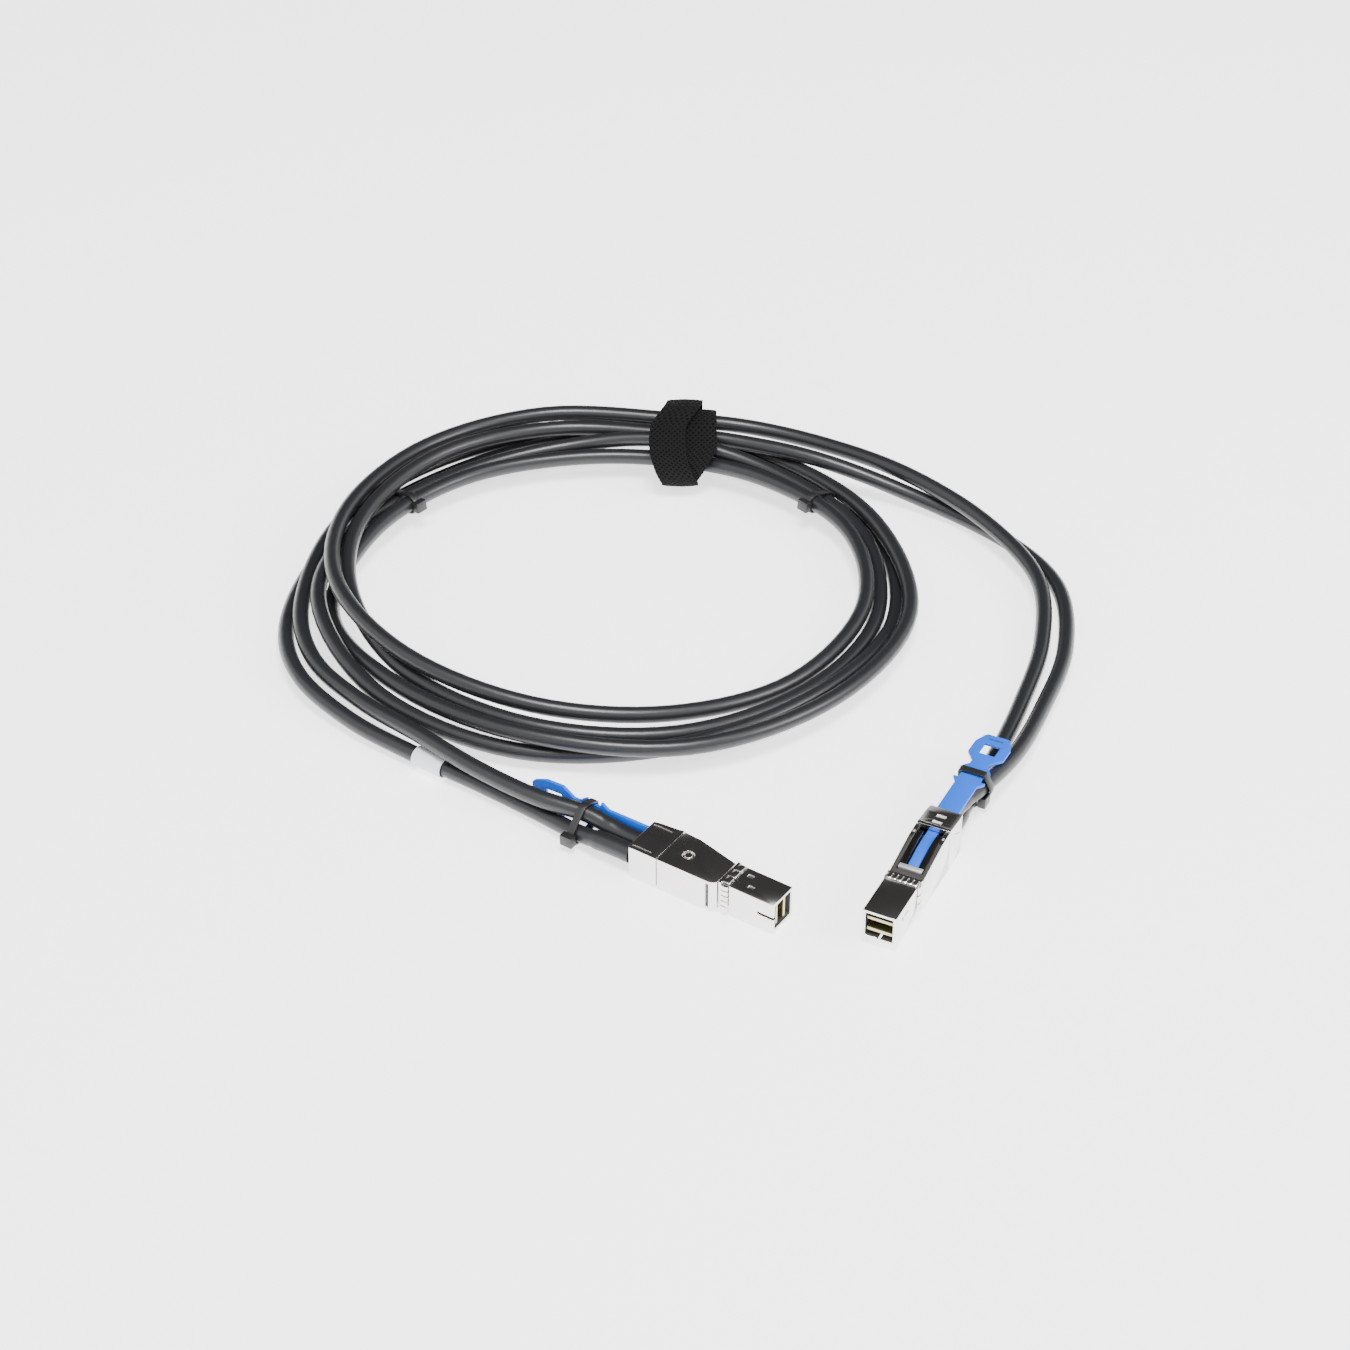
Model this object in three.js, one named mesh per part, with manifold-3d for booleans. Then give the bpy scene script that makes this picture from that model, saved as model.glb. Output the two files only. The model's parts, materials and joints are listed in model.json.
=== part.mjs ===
import * as THREE from 'three';
import { mergeVertices } from 'three/addons/utils/BufferGeometryUtils.js';
import Module from 'manifold-3d';

// Twin external data cable with two latching four-lane plugs, lying coiled on the ground
// Millimetres, Z up, the ground is z = 0
const wasm = await Module();
wasm.setup();

// Driving dimensions of the cables
const CABLE_R = 2.7;
const CABLE_STEPS_PER_POINT = 2;
const CABLE_SIDES = 8;
const FIT = 0.3;
const BENT_FIT = 0.4;
const STRAP_FIT = 0.8;
const ORIGIN = [-2.109, -5.54];

// Driving dimensions of the plugs, x forward from the mouth, z toward the latch
const NOSE_W = 10.4;
const NOSE_H = 10.14;
const NOSE_WALL = 0.9;
const NOSE_L = 15.4;
const NECK_L = 18.9;
const NECK_INSET = 0.3;
const BODY_X = -19.2;
const SEAM_X = -39.4;
const REAR_X = -50;
const PLUG_A_AT = [31.2, -120.6];
const PLUG_A_HEIGHT = 5.82;
const PLUG_B_AT = [58.5, -129.8];
const BODY_W = 10.75;
const BODY_BOTTOM = -7.2;
const CARD_Z = [2.0, -2.1];
const CARD_T = 1.0;
const CARD_INSET = 0.8;
const CARD_REAR = 2.0;
const SLOT_L = 5.6;
const COLLAR_L = 0.9;
const COLLAR_T = 0.25;
const FINGER_MARGIN = 0.5;
const WINDOW_HALF = 4.0;
const RAIL_GAP = 0.45;
const RAIL_H = 0.9;
const PIN_R = 0.6;
const PIN_REACH = 4.6;
const RIVET = [-32.7, -0.3];
const RIVET_R = 1.2;
const RAMP_X = -33.6;
const RAMP_Z = 7.5;
const FRONT_Z = 4.3;
const STRIP_HALF = 1.65;
const TAB_HALF = 3.5;
const TAB_T = 1.0;
const TIE_X = -71.2;
const TIE_W = 2.4;
const TIE_T = 0.6;
const PIVOT = [-36, 6.2];

// Driving dimensions of the strap
const STRAP_T = 1.2;
const STRAP_OUTER_X = [-9.2, 3.7];
const STRAP_INNER_X = [3.2, 14.5];
const STRAP_CENTRE = [122, 10.7];
const STRAP_REACH = 21.2;
const STRAP_POWER = 2.8;

// Driving dimensions of the label
const LABEL_L = 11;
const LABEL_FIT = 0.32;
const LABEL_T = 0.33;

// Centre line of the first cable, from the right plug to the left plug
const ROUTE_A = [
  [80.9, -84.8, 3.2], [84.8, -77.0, 3.3], [90.3, -65.0, 3.75], [99.5, -45.4, 3.2],
  [109.7, -19.2, 3.2], [119.2, 11.4, 4.7], [120.7, 44.6, 6.8], [105.5, 75.1, 9.0],
  [80.3, 101.6, 10.9], [54.4, 121.9, 9.4], [26.8, 132.6, 10.3], [0.5, 133.6, 12.9],
  [-46.5, 135.3, 14.1], [-87.2, 114.7, 14.0], [-111.1, 73.5, 15.3], [-110.4, 26.7, 18.0],
  [-84.7, -11.8, 16.6], [-44.4, -31.0, 11.9], [-1.2, -30.2, 7.8], [37.4, -10.2, 5.1],
  [62.0, 27.7, 7.5], [58.3, 70.6, 9.0], [29.6, 101.1, 9.7], [-5.6, 115.0, 8.6],
  [-39.9, 114.0, 9.0], [-74.3, 101.3, 9.0], [-101.6, 71.2, 8.5], [-112.8, 25.8, 6.2],
  [-89.4, -16.2, 9.6], [-48.0, -45.0, 11.6], [4.1, -49.7, 9.9], [50.4, -23.2, 8.7],
  [76.9, 23.3, 7.9], [68.2, 74.3, 9.3], [40.0, 113.5, 6.8], [0.1, 134.0, 6.9],
  [-45.3, 134.3, 6.4], [-85.7, 113.1, 7.7], [-114.2, 74.1, 8.9], [-122.5, 24.1, 8.7],
  [-115.6, -2.3, 7.6], [-98.6, -24.5, 8.0], [-79.7, -43.1, 9.9], [-60.0, -60.8, 9.9],
  [-41.5, -73.6, 9.4], [-25.5, -80.2, 8.0], [-16.5, -85.8, 5.8], [-9.3, -90.65, 5.8],
];

// Centre line of the second cable, from the right plug to the left plug
const ROUTE_B = [
  [80.9, -84.8, 9.2], [84.8, -77.0, 9.05], [93.1, -67.1, 8.4], [105.0, -48.8, 6.3],
  [116.2, -23.0, 4.7], [126.4, 7.5, 4.7], [127.6, 41.4, 4.9], [114.1, 71.0, 2.8],
  [84.7, 95.0, 5.1], [49.4, 109.4, 12.0], [19.7, 120.2, 12.6], [-2.9, 124.4, 12.9],
  [-43.3, 127.0, 13.2], [-81.4, 108.9, 14.5], [-105.5, 71.9, 13.6], [-106.2, 27.9, 13.6],
  [-85.2, -12.3, 10.6], [-46.1, -37.0, 8.7], [1.0, -38.4, 6.2], [42.2, -14.8, 5.0],
  [66.2, 26.1, 3.7], [63.4, 72.2, 6.3], [33.7, 105.5, 9.2], [-4.1, 118.8, 13.9],
  [-41.4, 119.9, 9.7], [-78.1, 105.4, 7.1], [-107.7, 72.8, 8.3], [-116.7, 25.1, 12.0],
  [-93.4, -20.9, 8.1], [-48.8, -46.0, 5.4], [2.6, -44.5, 6.5], [46.1, -18.7, 7.3],
  [72.0, 24.6, 3.8], [68.6, 74.3, 2.8], [36.6, 109.4, 3.4], [-1.7, 128.0, 7.6],
  [-43.6, 127.9, 6.3], [-82.9, 110.2, 3.2], [-114.8, 74.3, 2.9], [-127.1, 22.7, 4.9],
  [-120.4, -7.6, 6.1], [-102.3, -29.1, 4.5], [-81.3, -45.0, 3.6], [-60.0, -59.7, 3.5],
  [-42.4, -72.4, 3.2], [-28.9, -83.8, 4.0], [-19.8, -90.6, 5.6], [-12.65, -95.55, 5.8],
];

// Materials
const paint = (color, roughness, metalness) => new THREE.MeshStandardMaterial({ color, roughness, metalness });
const NICKEL = paint(0xd2d3d6, 0.22, 1);
const DARK_NICKEL = paint(0xa3a4a8, 0.28, 1);
const CABLE_JACKET = paint(0x1d1d20, 0.5, 0);
const BLUE = paint(0x2f7fd6, 0.4, 0);
const BOARD = paint(0xcdb98c, 0.5, 0);
const INSULATOR = paint(0x2a2118, 0.6, 0);
const WEAVE = paint(0x161618, 0.9, 0);
const TIE_PLASTIC = paint(0x131315, 0.45, 0);
const PAPER = paint(0xe9eaec, 0.6, 0);

// Plain solids
const box = (x0, x1, y0, y1, z0, z1) => {
  const g = new THREE.BoxGeometry(x1 - x0, y1 - y0, z1 - z0);
  return g.translate((x0 + x1) / 2, (y0 + y1) / 2, (z0 + z1) / 2);
};
const shapeOf = (points, holes = []) => {
  const s = new THREE.Shape(points.map(([a, b]) => new THREE.Vector2(a, b)));
  s.holes = holes.map((h) => new THREE.Path(h.map(([a, b]) => new THREE.Vector2(a, b))));
  return s;
};
const extruded = (shape, depth) => new THREE.ExtrudeGeometry(shape, { depth, bevelEnabled: false, steps: 1 });
const sideBody = (points, y0, y1) => extruded(shapeOf(points), y1 - y0).rotateX(Math.PI / 2).translate(0, y1, 0);
const planBody = (points, z0, z1, holes) => extruded(shapeOf(points, holes), z1 - z0).translate(0, 0, z0);
const crossBody = (points, x0, x1, holes) => {
  const g = extruded(shapeOf(points, holes), x1 - x0);
  const turn = new THREE.Matrix4().makeBasis(
    new THREE.Vector3(0, 1, 0), new THREE.Vector3(0, 0, 1), new THREE.Vector3(1, 0, 0));
  return g.applyMatrix4(turn).translate(x0, 0, 0);
};
const pinAlongY = (x, z, r, y0, y1) => new THREE.CylinderGeometry(r, r, y1 - y0, 16).translate(x, (y0 + y1) / 2, z);

// Joining and cutting
const toSolid = (geometry) => {
  const g = geometry.clone();
  g.deleteAttribute('normal');
  g.deleteAttribute('uv');
  const m = mergeVertices(g, 1e-5);
  return new wasm.Manifold(new wasm.Mesh({
    numProp: 3,
    vertProperties: new Float32Array(m.attributes.position.array),
    triVerts: new Uint32Array(m.index.array),
  }));
};
const fromSolid = (solid) => {
  const mesh = solid.getMesh();
  const g = new THREE.BufferGeometry();
  g.setAttribute('position', new THREE.BufferAttribute(new Float32Array(mesh.vertProperties), 3));
  g.setIndex(new THREE.BufferAttribute(new Uint32Array(mesh.triVerts), 1));
  const flat = g.toNonIndexed();
  flat.computeVertexNormals();
  return flat;
};
const join = (list) => list.map(toSolid).reduce((a, b) => a.add(b));
const cutFrom = (solid, list) => list.map(toSolid).reduce((a, b) => a.subtract(b), solid);

const part = new THREE.Group();
part.name = 'mini_sas_hd_cable';
const ground = new THREE.Group();
ground.name = 'on_the_ground';
ground.position.set(ORIGIN[0], ORIGIN[1], 0);
part.add(ground);
const put = (group, name, geometry, material) => {
  const mesh = new THREE.Mesh(geometry, material);
  mesh.name = name;
  group.add(mesh);
};

// Cable curves with stations at even steps between the route points
class StationedCurve extends THREE.CatmullRomCurve3 {
  getUtoTmapping(u) {
    return u;
  }
}
const curveOf = (route) => new StationedCurve(route.map((p) => new THREE.Vector3(...p)), false, 'centripetal');
const curves = [curveOf(ROUTE_A), curveOf(ROUTE_B)];
const cableSection = shapeOf(Array.from({ length: CABLE_SIDES }, (_, i) => {
  const a = ((i + 0.5) * 2 * Math.PI) / CABLE_SIDES;
  return [CABLE_R * Math.cos(a), CABLE_R * Math.sin(a)];
}));
const cableBody = (curve) => new THREE.ExtrudeGeometry(cableSection, {
  steps: CABLE_STEPS_PER_POINT * (ROUTE_A.length - 1),
  extrudePath: curve,
  bevelEnabled: false,
});
put(ground, 'cable_a', cableBody(curves[0]), CABLE_JACKET);
put(ground, 'cable_b', cableBody(curves[1]), CABLE_JACKET);

// Closed outline around round and small things lying side by side
const hull = (points) => {
  const sorted = [...points].sort((p, q) => p[0] - q[0] || p[1] - q[1]);
  const cross = (o, a, b) => (a[0] - o[0]) * (b[1] - o[1]) - (a[1] - o[1]) * (b[0] - o[0]);
  const half = (list) => {
    const out = [];
    for (const p of list) {
      while (out.length > 1 && cross(out[out.length - 2], out[out.length - 1], p) <= 1e-9) {
        out.pop();
      }
      out.push(p);
    }
    return out.slice(0, -1);
  };
  return [...half(sorted), ...half(sorted.reverse())];
};
const spread = (circles, extra, count) => circles.flatMap(([u, v, r]) => Array.from({ length: count }, (_, i) => {
  const a = (i * 2 * Math.PI) / count;
  return [u + (r + extra) * Math.cos(a), v + (r + extra) * Math.sin(a)];
}));
const bandAround = (circles, thickness, count, gap = FIT) => [
  hull(spread(circles, gap + thickness, count)),
  hull(spread(circles, gap, count)),
];

// Where a curve crosses a plane, near a given place on the curve
const crossing = (curve, at, normal, from, to) => {
  let best = null;
  for (let i = 0; i <= 400; i += 1) {
    const p = curve.getPoint(from + ((to - from) * i) / 400);
    const off = Math.abs(p.clone().sub(at).dot(normal));
    if (best === null || off < best.off) {
      best = { off, p };
    }
  }
  return best.p;
};

// Cable tie around two cables, its plane square to the first one
const lastIndex = ROUTE_A.length - 1;
const midTie = (name, index, headTurn) => {
  const at = curves[0].getPoint(index / lastIndex);
  const normal = curves[0].getTangent(index / lastIndex).normalize();
  const other = crossing(curves[1], at, normal, (index - 1.2) / lastIndex, (index + 1.2) / lastIndex);
  const up = new THREE.Vector3(0, 0, 1);
  const side = new THREE.Vector3().crossVectors(up, normal).normalize();
  const rise = new THREE.Vector3().crossVectors(normal, side).normalize();
  const rel = other.clone().sub(at);
  const circles = [[0, 0, CABLE_R], [rel.dot(side), rel.dot(rise), CABLE_R]];
  const [outer, inner] = bandAround(circles, TIE_T, 20, BENT_FIT);
  const loop = planBody(outer, -TIE_W / 2, TIE_W / 2, [inner]);
  const reach = CABLE_R + BENT_FIT + 0.2;
  const head = box(reach, reach + 2.4, -1.8, 1.8, -2.1, 2.1).rotateZ(headTurn);
  const solid = join([loop, head]);
  const turn = new THREE.Matrix4().makeBasis(side, rise, normal).setPosition(at);
  put(ground, name, fromSolid(solid).applyMatrix4(turn), TIE_PLASTIC);
};
midTie('tie_left', 25.55, 0.15);
midTie('tie_right', 21.45, 0.15);

// Hook and loop strap, a tight inner turn and a loose outer turn
const stationsBetween = (x0, x1) => curves.flatMap((curve) => {
  const list = [];
  for (let i = 0; i <= 1600; i += 1) {
    const p = curve.getPoint(i / 1600);
    if (p.x > x0 - 0.4 && p.x < x1 + 0.4 && p.y > 90) {
      list.push([p.y, p.z, CABLE_R]);
    }
  }
  return list;
});
const roundedLoop = (cy, cz, a, b, power, count) => Array.from({ length: count }, (_, i) => {
  const t = (i * 2 * Math.PI) / count;
  const c = Math.cos(t);
  const s = Math.sin(t);
  return [
    cy + a * Math.sign(c) * Math.abs(c) ** (2 / power),
    cz + b * Math.sign(s) * Math.abs(s) ** (2 / power),
  ];
});
const innerCircles = stationsBetween(STRAP_INNER_X[0], STRAP_INNER_X[1]);
innerCircles.push([116, STRAP_T, -STRAP_FIT], [130, STRAP_T, -STRAP_FIT]);
const [innerOut, innerIn] = bandAround(innerCircles, STRAP_T, 16, STRAP_FIT);
const [loopY, loopZ] = STRAP_CENTRE;
const outerOut = roundedLoop(loopY, loopZ, STRAP_REACH, loopZ, STRAP_POWER, 40);
const outerIn = roundedLoop(loopY, loopZ, STRAP_REACH - STRAP_T, loopZ - STRAP_T, STRAP_POWER, 40);
const strap = join([
  crossBody(outerOut, STRAP_OUTER_X[0], STRAP_OUTER_X[1], [outerIn]),
  crossBody(innerOut, STRAP_INNER_X[0], STRAP_INNER_X[1], [innerIn]),
]);
put(ground, 'hook_and_loop_strap', fromSolid(strap), WEAVE);

// Label wrapped around the second cable
const labelIndex = 42.28;
const labelAt = curves[1].getPoint(labelIndex / lastIndex);
const labelAlong = curves[1].getTangent(labelIndex / lastIndex).normalize();
const labelIn = CABLE_R + LABEL_FIT;
const ringOf = (r) => Array.from({ length: 20 }, (_, i) => {
  const t = (i * Math.PI) / 10;
  return [r * Math.cos(t), r * Math.sin(t)];
});
const labelShape = shapeOf(ringOf(labelIn + LABEL_T), [ringOf(labelIn)]);
const labelTurn = new THREE.Quaternion().setFromUnitVectors(new THREE.Vector3(0, 0, 1), labelAlong);
const label = extruded(labelShape, LABEL_L).translate(0, 0, -LABEL_L / 2).applyQuaternion(labelTurn);
put(ground, 'label_sleeve', label.translate(labelAt.x, labelAt.y, labelAt.z), PAPER);

// One plug with everything that belongs to it
const frameLine = (x) => (x > RAMP_X
  ? FRONT_Z + (BODY_X - x) * 0.2222
  : RAMP_Z + (RAMP_X - x) * 0.045);
const plug = (prefix, group, curveEnd, headTurn) => {
  const half = BODY_W / 2;
  const neckRear = BODY_X + FIT;
  const mouth = neckRear + NECK_L;
  // Nose with mouth, side windows and bottom slot
  const noseOuter = [
    box(mouth - NOSE_L, mouth, -NOSE_W / 2, NOSE_W / 2, -NOSE_H / 2, NOSE_H / 2),
    box(neckRear, mouth - NOSE_L + 0.5, -NOSE_W / 2 + NECK_INSET, NOSE_W / 2 - NECK_INSET,
      -NOSE_H / 2 + NECK_INSET, NOSE_H / 2 - NECK_INSET),
  ];
  const inY = NOSE_W / 2 - NOSE_WALL;
  const inZ = NOSE_H / 2 - NOSE_WALL;
  const noseCuts = [
    box(neckRear - 1, mouth + 1, -inY, inY, -inZ, inZ),
    box(mouth - SLOT_L, mouth + 1, -0.45, 0.45, -NOSE_H / 2 - 1, -inZ + 0.1),
    box(mouth - 13.5, mouth - 11.5, -NOSE_W / 2 - 1, -NOSE_W / 2 + 0.35, 1.6, 2.8),
    box(mouth - 10.8, mouth - 8.8, -NOSE_W / 2 - 1, -NOSE_W / 2 + 0.35, -2.5, -1.3),
    box(mouth - 9.3, mouth - 6.7, NOSE_W / 2 - 0.35, NOSE_W / 2 + 1, 1.1, 2.0),
    box(mouth - 6.0, mouth - 4.5, NOSE_W / 2 - 0.35, NOSE_W / 2 + 1, 0.8, 2.0),
  ];
  put(group, `${prefix}_nose_shell`, fromSolid(cutFrom(join(noseOuter), noseCuts)), NICKEL);

  // Spring finger collar around the neck
  const ringY = NOSE_W / 2;
  const ringZ = NOSE_H / 2;
  const ring = (grow) => [
    [-ringY - grow, -ringZ - grow], [ringY + grow, -ringZ - grow],
    [ringY + grow, ringZ + grow], [-ringY - grow, ringZ + grow],
  ];
  const collar = [crossBody(ring(COLLAR_T), neckRear, neckRear + COLLAR_L, [ring(0)])];
  const arch = [
    [0.5, 0], [1.3, 0.26], [2.1, 0.34], [2.9, 0.16], [3.2, 0],
    [3.2, 0.2], [2.9, 0.38], [2.1, 0.56], [1.3, 0.48], [0.5, 0.25],
  ].map(([x, n]) => [neckRear + x, n]);
  const fingers = (count, span, gap, place) => {
    const width = (2 * span - gap * (count - 1)) / count;
    for (let i = 0; i < count; i += 1) {
      const from = -span + i * (width + gap);
      collar.push(place(from, from + width));
    }
  };
  fingers(6, ringY - FINGER_MARGIN, 0.4, (a, b) => sideBody(arch.map(([x, n]) => [x, ringZ + n]), a, b));
  fingers(5, ringY - FINGER_MARGIN, 0.4, (a, b) => sideBody(arch.map(([x, n]) => [x, -ringZ - n]).reverse(), a, b));
  fingers(3, ringZ - 0.47, 0.5, (a, b) => planBody(arch.map(([x, n]) => [x, ringY + n]), a, b));
  fingers(3, ringZ - 0.47, 0.5, (a, b) => planBody(arch.map(([x, n]) => [x, -ringY - n]).reverse(), a, b));
  put(group, `${prefix}_spring_collar`, fromSolid(join(collar)), NICKEL);

  // Two paddle cards and the insulator that carries them
  const inside = inY - FIT;
  const rise = inZ - FIT;
  const clear = CARD_T / 2 + FIT;
  CARD_Z.forEach((z, i) => {
    const name = `${prefix}_card_${i === 0 ? 'upper' : 'lower'}`;
    const low = z - CARD_T / 2;
    const card = box(neckRear + CARD_REAR, mouth - CARD_INSET, -inside, inside, low, low + CARD_T);
    put(group, name, card, BOARD);
  });
  const insulator = join([
    box(neckRear + FIT, neckRear + CARD_REAR - FIT, -inside, inside, -rise, rise),
    box(neckRear + 1.5, mouth - 9.0, -inside, inside, CARD_Z[1] + clear, CARD_Z[0] - clear),
    box(neckRear + 1.5, mouth - 9.0, -inside, inside, CARD_Z[0] + clear, rise),
    box(neckRear + 1.5, mouth - 9.0, -inside, inside, -rise, CARD_Z[1] - clear),
  ]);
  put(group, `${prefix}_card_holder`, fromSolid(insulator), INSULATOR);

  // Front housing with the latch window
  const housing = toSolid(sideBody([
    [BODY_X, BODY_BOTTOM + 1.6], [BODY_X, frameLine(BODY_X)], [RAMP_X, RAMP_Z],
    [SEAM_X, frameLine(SEAM_X)], [SEAM_X, BODY_BOTTOM], [BODY_X - 2.0, BODY_BOTTOM + 0.2], [BODY_X - 0.7, BODY_BOTTOM + 0.7],
  ].reverse(), -half, half));
  const windowCut = sideBody([
    [-21.4, 1.4], [RAMP_X, 4.1], [SEAM_X - 1, 4.1], [SEAM_X - 1, 12], [-21.4, 12],
  ].reverse(), -WINDOW_HALF, WINDOW_HALF);
  const front = cutFrom(housing, [
    windowCut,
    box(SEAM_X - 1, -24, -3.9, 3.9, -6.0, 0.9),
    pinAlongY(PIVOT[0], PIVOT[1], PIN_R + FIT, -PIN_REACH - FIT, PIN_REACH + FIT),
    pinAlongY(RIVET[0], RIVET[1], RIVET_R + 0.7, -half - 1, -half + 0.8),
    box(-22.4, -21.3, -4.4, 4.6, BODY_BOTTOM - 1, BODY_BOTTOM + 0.6),
  ]);
  put(group, `${prefix}_front_housing`, fromSolid(front), NICKEL);
  put(group, `${prefix}_rivet`, pinAlongY(RIVET[0], RIVET[1], RIVET_R, -half + 0.05, -half + 0.5), NICKEL);

  // Rear cover with the tab slot
  const coverFront = SEAM_X - 0.3;
  const cover = toSolid(planBody([
    [coverFront, -half], [-47.5, -half], [REAR_X, -half + 0.25],
    [REAR_X, half - 0.25], [-47.5, half], [coverFront, half],
  ].reverse(), BODY_BOTTOM, 9));
  const coverSide = toSolid(sideBody([
    [coverFront, BODY_BOTTOM], [REAR_X + 0.6, BODY_BOTTOM], [REAR_X, BODY_BOTTOM + 0.6],
    [REAR_X, 6.9], [-41.2, 7.75], [-40.8, 8.0], [coverFront, 8.0],
  ], -half, half));
  const coverBody = cutFrom(cover.intersect(coverSide), [
    box(-48.8, coverFront + 1, -4.4, 4.4, -6.2, 6.5),
    box(REAR_X - 1, -48.7, -TAB_HALF - FIT, TAB_HALF + FIT, 4.75, 6.4),
    box(-46.6, -45.2, -1.5, 1.5, 6.9, 9),
    box(-43.2, -41.9, -1.5, 1.5, 7.25, 9),
    box(-49.0, -42.4, -half - 1, -half + 0.3, -6.0, -5.4),
    box(-49.0, -42.4, -half - 1, -half + 0.3, 5.2, 5.8),
    box(-49.2, -48.6, half - 0.3, half + 1, -3.2, 5.6),
  ]);
  put(group, `${prefix}_rear_cover`, fromSolid(coverBody), NICKEL);

  // Latch frame that swings about the pins near the seam
  const railTop = (x) => frameLine(x) - 0.35;
  const rail = (y0, y1) => sideBody([
    [-22.0, railTop(-22.0)], [-33.4, railTop(-33.4)], [-37.4, railTop(-37.4)],
    [-37.4, railTop(-37.4) - RAIL_H], [-33.4, railTop(-33.4) - RAIL_H], [-22.0, railTop(-22.0) - RAIL_H],
  ], y0, y1);
  const railIn = STRIP_HALF + RAIL_GAP;
  const railOut = WINDOW_HALF - FIT;
  const latch = join([
    rail(railIn, railOut),
    rail(-railOut, -railIn),
    box(-23.7, -22.0, -railOut, railOut, 3.6, 5.2),
    pinAlongY(PIVOT[0], PIVOT[1], PIN_R, railIn + FIT, PIN_REACH),
    pinAlongY(PIVOT[0], PIVOT[1], PIN_R, -PIN_REACH, -railIn - FIT),
  ]);
  put(group, `${prefix}_latch_frame`, fromSolid(latch), DARK_NICKEL);

  // Blue pull tab, thin strip in the window, wide strip and handle behind
  const topLine = [
    [-24.1, 4.25], [-31.5, 5.95], [-36, 6.2], [-41, 6.1], [REAR_X, 6.05],
    [-62, 5.85], [-76, 5.4], [-92.5, 4.4],
  ];
  const tabSide = sideBody([...topLine, ...[...topLine].reverse().map(([x, z]) => [x, z - TAB_T])], -8, 8);
  const halfOutline = [
    [-24.1, STRIP_HALF], [-38.2, STRIP_HALF], [-40.0, TAB_HALF], [-64.5, TAB_HALF], [-66.0, 4.8],
    [-67.8, 4.8], [-67.9, TAB_HALF], [-73.5, TAB_HALF], [-73.6, 4.5], [-75.0, 4.5],
    [-75.6, 2.9], [-77.6, 2.9], [-81.5, 5.8], [-87.5, 5.8], [-91.6, 4.2], [-92.5, 3.4],
  ];
  const outline = [...halfOutline, ...[...halfOutline].reverse().map(([x, y]) => [x, -y])];
  const handleWindow = [[-87.6, -2.6], [-87.6, 2.6], [-82.0, 2.6], [-82.0, -2.6]];
  const tab = toSolid(tabSide).intersect(toSolid(planBody(outline, -2, 12, [handleWindow])));
  put(group, `${prefix}_pull_tab`, fromSolid(tab), BLUE);

  // Cable tie around both cables and the tab
  group.updateMatrixWorld(true);
  const inverse = group.matrix.clone().invert();
  const origin = new THREE.Vector3(TIE_X, 0, 0).applyMatrix4(group.matrix);
  const forward = new THREE.Vector3(1, 0, 0).transformDirection(group.matrix);
  const circles = curves.map((curve) => {
    const [from, to] = curveEnd === 0 ? [0, 5 / lastIndex] : [1 - 5 / lastIndex, 1];
    const p = crossing(curve, origin, forward, from, to).applyMatrix4(inverse);
    return [p.y, p.z, CABLE_R];
  });
  const tabTop = 5.4 + ((TIE_X + 76) / 14) * 0.45;
  circles.push([TAB_HALF, tabTop, 0.05], [-TAB_HALF, tabTop, 0.05]);
  const [outer, inner] = bandAround(circles, TIE_T, 20, BENT_FIT);
  const lowest = circles.slice(0, 2).reduce((p, q) => (p[1] < q[1] ? p : q));
  const tie = join([
    crossBody(outer, TIE_X - TIE_W / 2, TIE_X + TIE_W / 2, [inner]),
    box(TIE_X - 2.1, TIE_X + 2.1, -1.8, 1.8, CABLE_R + BENT_FIT + 0.2, CABLE_R + BENT_FIT + 2.6)
      .rotateX(headTurn).translate(0, lowest[0], lowest[1]),
  ]);
  put(group, `${prefix}_tie`, fromSolid(tie), TIE_PLASTIC);
};

// Left plug, lying on its side
const plugA = new THREE.Group();
plugA.name = 'plug_a';
const yawA = THREE.MathUtils.degToRad(-34.3);
plugA.position.set(PLUG_A_AT[0], PLUG_A_AT[1], PLUG_A_HEIGHT);
plugA.quaternion.setFromAxisAngle(new THREE.Vector3(0, 0, 1), yawA);
plugA.quaternion.multiply(new THREE.Quaternion().setFromAxisAngle(new THREE.Vector3(1, 0, 0), -Math.PI / 2));
plugA.updateMatrix();
ground.add(plugA);
plug('plug_a', plugA, 1, Math.PI);

// Right plug, latch up
const plugB = new THREE.Group();
plugB.name = 'plug_b';
plugB.position.set(PLUG_B_AT[0], PLUG_B_AT[1], -BODY_BOTTOM);
plugB.quaternion.setFromAxisAngle(new THREE.Vector3(0, 0, 1), THREE.MathUtils.degToRad(-116.5));
plugB.updateMatrix();
ground.add(plugB);
plug('plug_b', plugB, 0, -Math.PI / 2);

export default part;
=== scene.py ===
# %% [markdown]
# A paired data cable, coiled and strapped, with two latching plugs.
# The measured solids are loaded first and stay where they are.
# Everything that is added here gives the object its surface: rounded metal
# edges, soft black jackets, a woven strap, moulded blue pull tabs.
# Lengths are in metres, +Z is up and the cable lies on z = 0.

# %% Load the measured model
import bpy
import json
import math
from mathutils import Matrix, Vector

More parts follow.
